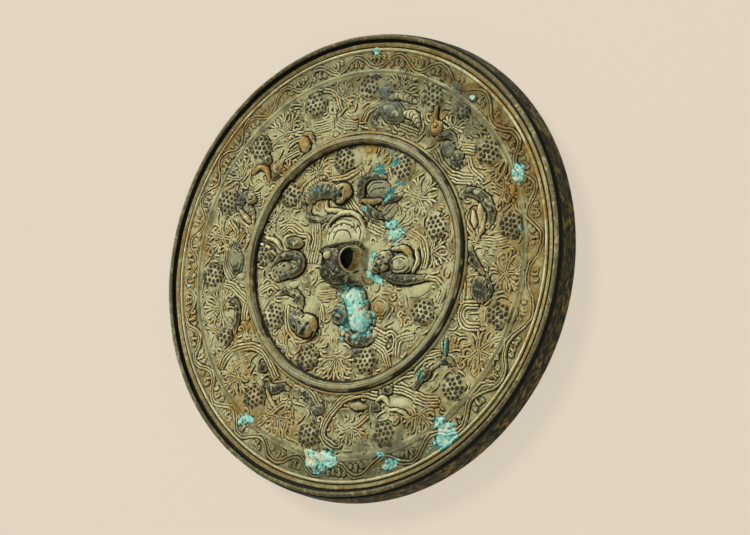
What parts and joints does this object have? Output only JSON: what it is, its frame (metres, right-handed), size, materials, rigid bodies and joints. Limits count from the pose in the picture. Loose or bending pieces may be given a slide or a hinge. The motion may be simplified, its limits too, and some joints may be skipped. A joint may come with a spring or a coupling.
{
  "type": "bronze mirror",
  "caption": "Ancient round cast-bronze mirror: polished face down, back with beasts, birds, grapes and vine in relief, a ridge ring, a beaded rim and a beast knob pierced for a cord.",
  "frame": {"origin": "middle of the polished face, which lies on the ground", "axes": "+Z out of the decorated back, +X and +Y across the back, +Y towards the top of the pictured design"},
  "size_m": [0.1736, 0.1736, 0.0179],
  "materials": {
    "bronze": "cast tin bronze with an olive-cream patina, dark worn high points, ochre earth in the hollows and patches of turquoise corrosion"
  },
  "bodies": {
    "root": {"bronze_mirror": "bronze"}
  },
  "joints": []
}
